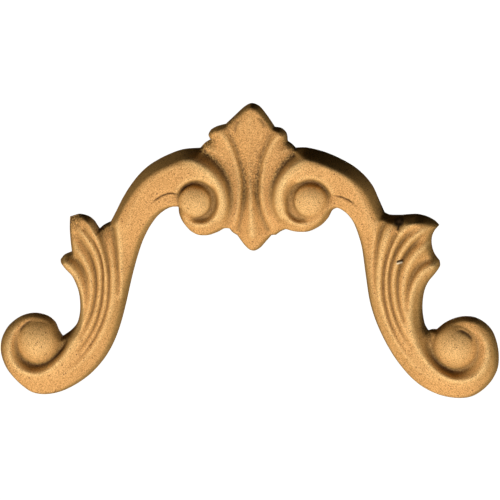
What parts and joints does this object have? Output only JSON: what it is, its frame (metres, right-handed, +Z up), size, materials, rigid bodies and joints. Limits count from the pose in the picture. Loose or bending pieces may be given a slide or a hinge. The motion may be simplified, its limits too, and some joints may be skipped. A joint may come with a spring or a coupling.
{
  "type": "furniture frieze onlay",
  "caption": "Moulded wood-composite onlay: a low arch of S scrolls with acanthus leaves and end volutes round a palmette, with a flat back for gluing to a furniture frieze.",
  "frame": {"origin": "on the flat back, behind the palmette's centre line and level with the two centre balls", "axes": "+Z up with the crown of the arch at the top, +X to the right as seen from the front, +Y out of the flat back into the frieze; the carved front faces -Y"},
  "size_m": [0.165, 0.012, 0.0994],
  "materials": {
    "moulded_wood": "raw, matt and finely grainy, unpainted"
  },
  "bodies": {
    "root": {"frieze_onlay": "moulded_wood"}
  },
  "joints": []
}
